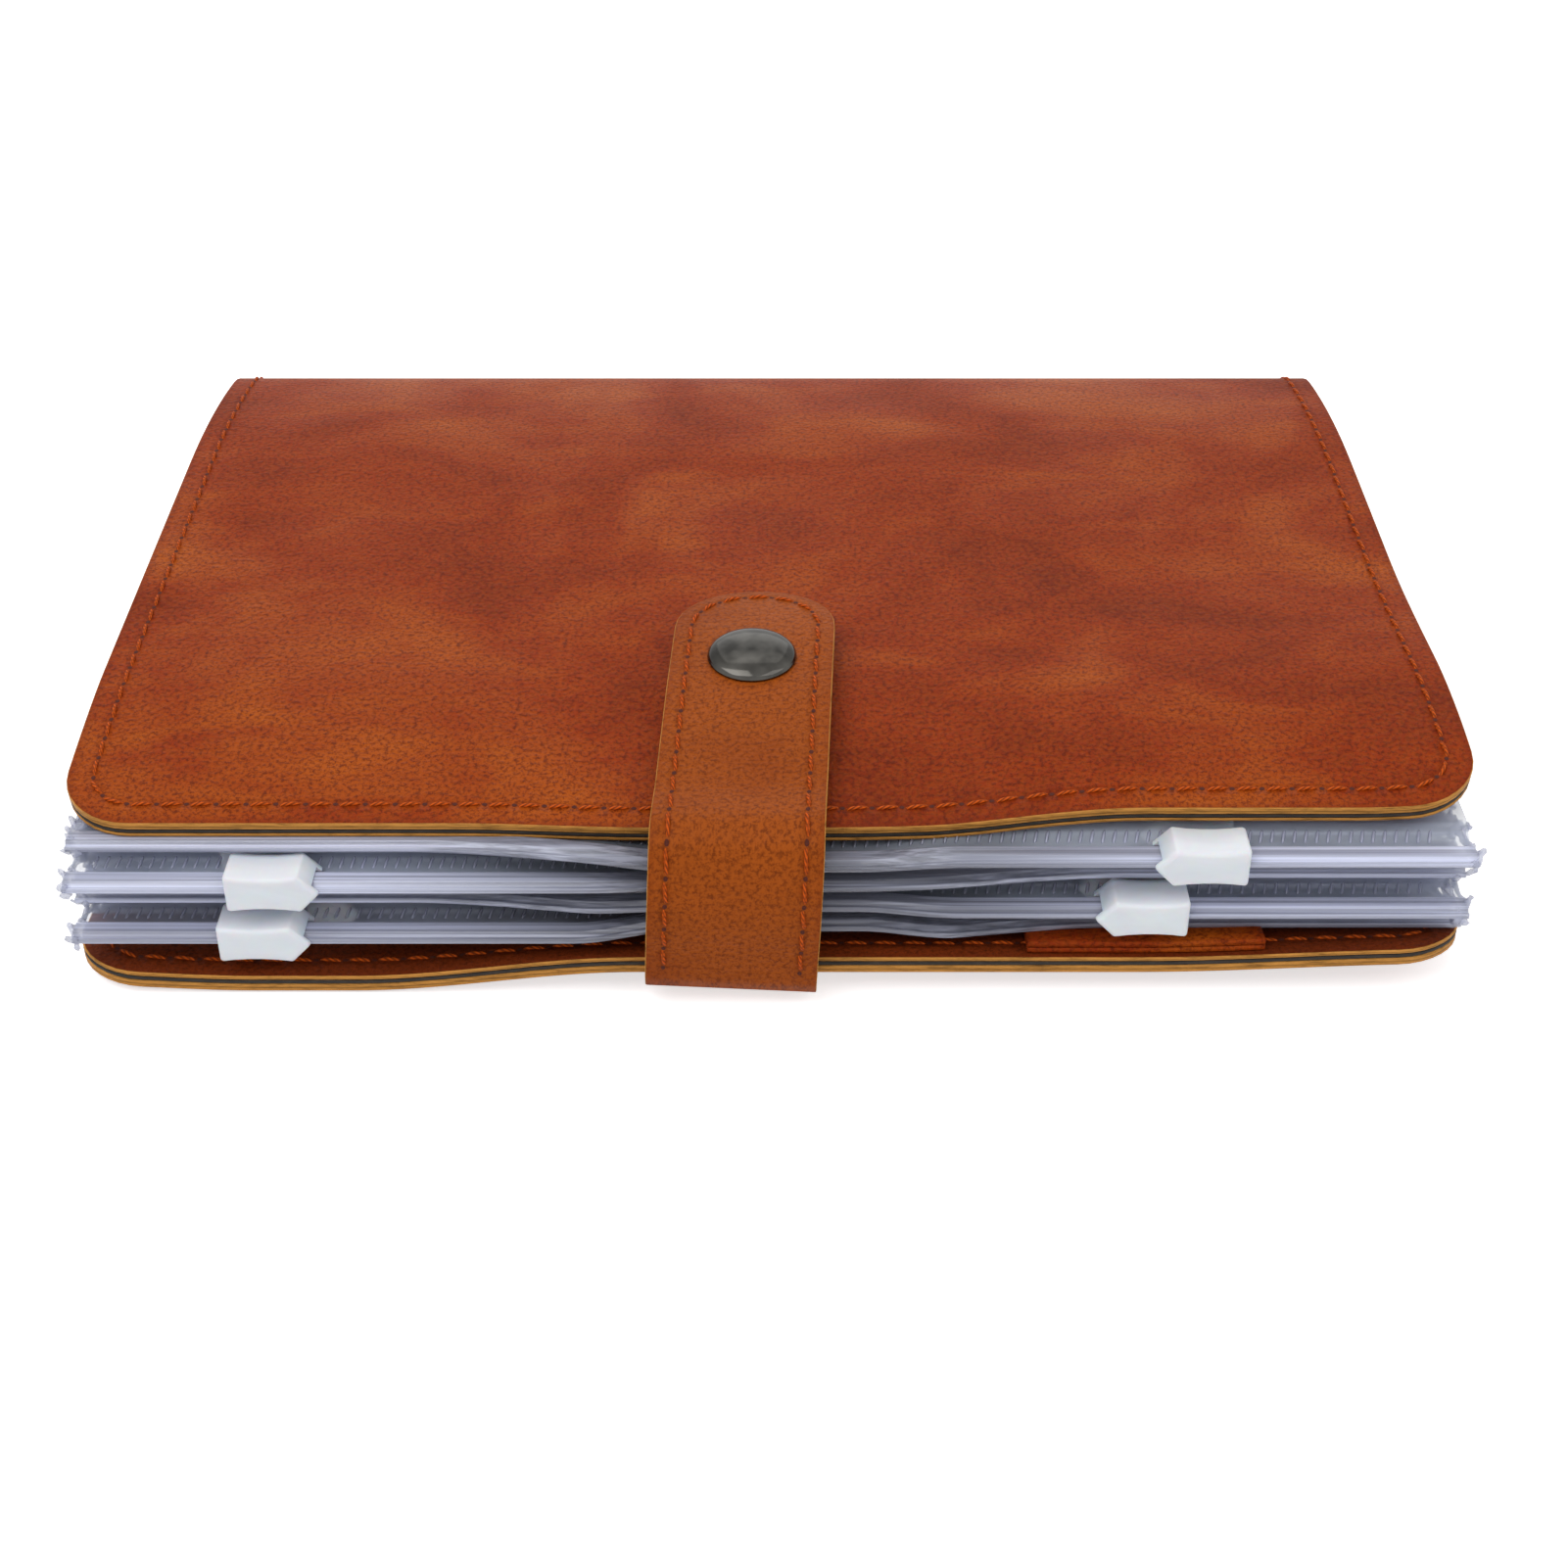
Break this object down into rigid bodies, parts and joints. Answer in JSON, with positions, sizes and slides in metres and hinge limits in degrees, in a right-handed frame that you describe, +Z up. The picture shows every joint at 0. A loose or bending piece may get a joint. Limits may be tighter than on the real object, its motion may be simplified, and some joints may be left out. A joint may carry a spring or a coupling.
{
  "type": "ring binder notebook",
  "caption": "Closed soft-cover ring binder with clear zip pouches on rings and a snap strap over the fore-edge.",
  "frame": {"origin": "on the flat underside of the back cover, at the middle of its length, where it lies on a table", "axes": "+X along the spine, +Y from the fore-edge towards the spine, +Z up through the front cover"},
  "size_m": [0.19, 0.1506, 0.0338],
  "materials": {
    "leather": "mottled tan, fine pebble grain, satin",
    "strap_leather": "lighter tan, satin",
    "lining_leather": "plain brown, satin",
    "black_board": "black fibre board",
    "chrome": "polished",
    "steel": "nickel plated",
    "clear_film": "clear, slightly blue",
    "clear_track": "clear, blue tint",
    "milky_plastic": "milky white, satin"
  },
  "bodies": {
    "root": {"outer_cover": "leather", "pen_loop": "leather", "stiffener_sheet": "black_board", "inner_lining": "lining_leather", "strap_root": "strap_leather", "snap_post": "steel", "snap_stud": "steel", "ring_plate": "steel", "hinge_rail_upper": "steel", "hinge_rail_lower": "steel", "plate_rivet_left": "steel", "plate_rivet_right": "steel", "ring_1_upper": "chrome", "ring_1_lower": "chrome", "ring_2_upper": "chrome", "ring_2_lower": "chrome", "ring_3_upper": "chrome", "ring_3_lower": "chrome", "ring_4_upper": "chrome", "ring_4_lower": "chrome", "ring_5_upper": "chrome", "ring_5_lower": "chrome", "ring_6_upper": "chrome", "ring_6_lower": "chrome", "pouch_1_film": "clear_film", "pouch_1_zip": "clear_track", "pouch_2_film": "clear_film", "pouch_2_zip": "clear_track", "pouch_3_film": "clear_film", "pouch_3_zip": "clear_track", "pouch_4_film": "clear_film", "pouch_4_zip": "clear_track", "pouch_5_film": "clear_film", "pouch_5_zip": "clear_track", "pouch_6_film": "clear_film", "pouch_6_zip": "clear_track", "pouch_7_film": "clear_film", "pouch_7_zip": "clear_track", "pouch_8_film": "clear_film", "pouch_8_zip": "clear_track"},
    "strap": {"strap_face": "strap_leather", "strap_backing": "strap_leather", "snap_socket": "steel", "snap_cap": "chrome"},
    "slider_1": {"pouch_1_slider": "milky_plastic"},
    "slider_2": {"pouch_2_slider": "milky_plastic"},
    "slider_3": {"pouch_3_slider": "milky_plastic"},
    "slider_4": {"pouch_4_slider": "milky_plastic"},
    "slider_5": {"pouch_5_slider": "milky_plastic"},
    "slider_6": {"pouch_6_slider": "milky_plastic"},
    "slider_7": {"pouch_7_slider": "milky_plastic"},
    "slider_8": {"pouch_8_slider": "milky_plastic"}
  },
  "joints": [
    {"name": "strap_swing", "type": "hinge", "parent": "root", "child": "strap", "pos_m": [-0.005, -0.07435, 0.0004], "axis": [1, 0, 0], "range_deg": [0, 85]},
    {"name": "slider_1_slide", "type": "slide", "parent": "root", "child": "slider_1", "axis": [1, 0, 0], "range_m": [-0.0207, 0.012]},
    {"name": "slider_2_slide", "type": "slide", "parent": "root", "child": "slider_2", "axis": [1, 0, 0], "range_m": [-0.0157, 0.0342]},
    {"name": "slider_3_slide", "type": "slide", "parent": "root", "child": "slider_3", "axis": [1, 0, 0], "range_m": [-0.0152, 0.0347]},
    {"name": "slider_4_slide", "type": "slide", "parent": "root", "child": "slider_4", "axis": [1, 0, 0], "range_m": [-0.0165, 0.0334]},
    {"name": "slider_5_slide", "type": "slide", "parent": "root", "child": "slider_5", "axis": [1, 0, 0], "range_m": [-0.0151, 0.0348]},
    {"name": "slider_6_slide", "type": "slide", "parent": "root", "child": "slider_6", "axis": [1, 0, 0], "range_m": [-0.0177, 0.0322]},
    {"name": "slider_7_slide", "type": "slide", "parent": "root", "child": "slider_7", "axis": [1, 0, 0], "range_m": [-0.023, 0.0269]},
    {"name": "slider_8_slide", "type": "slide", "parent": "root", "child": "slider_8", "axis": [1, 0, 0], "range_m": [-0.0237, 0.0262]}
  ]
}
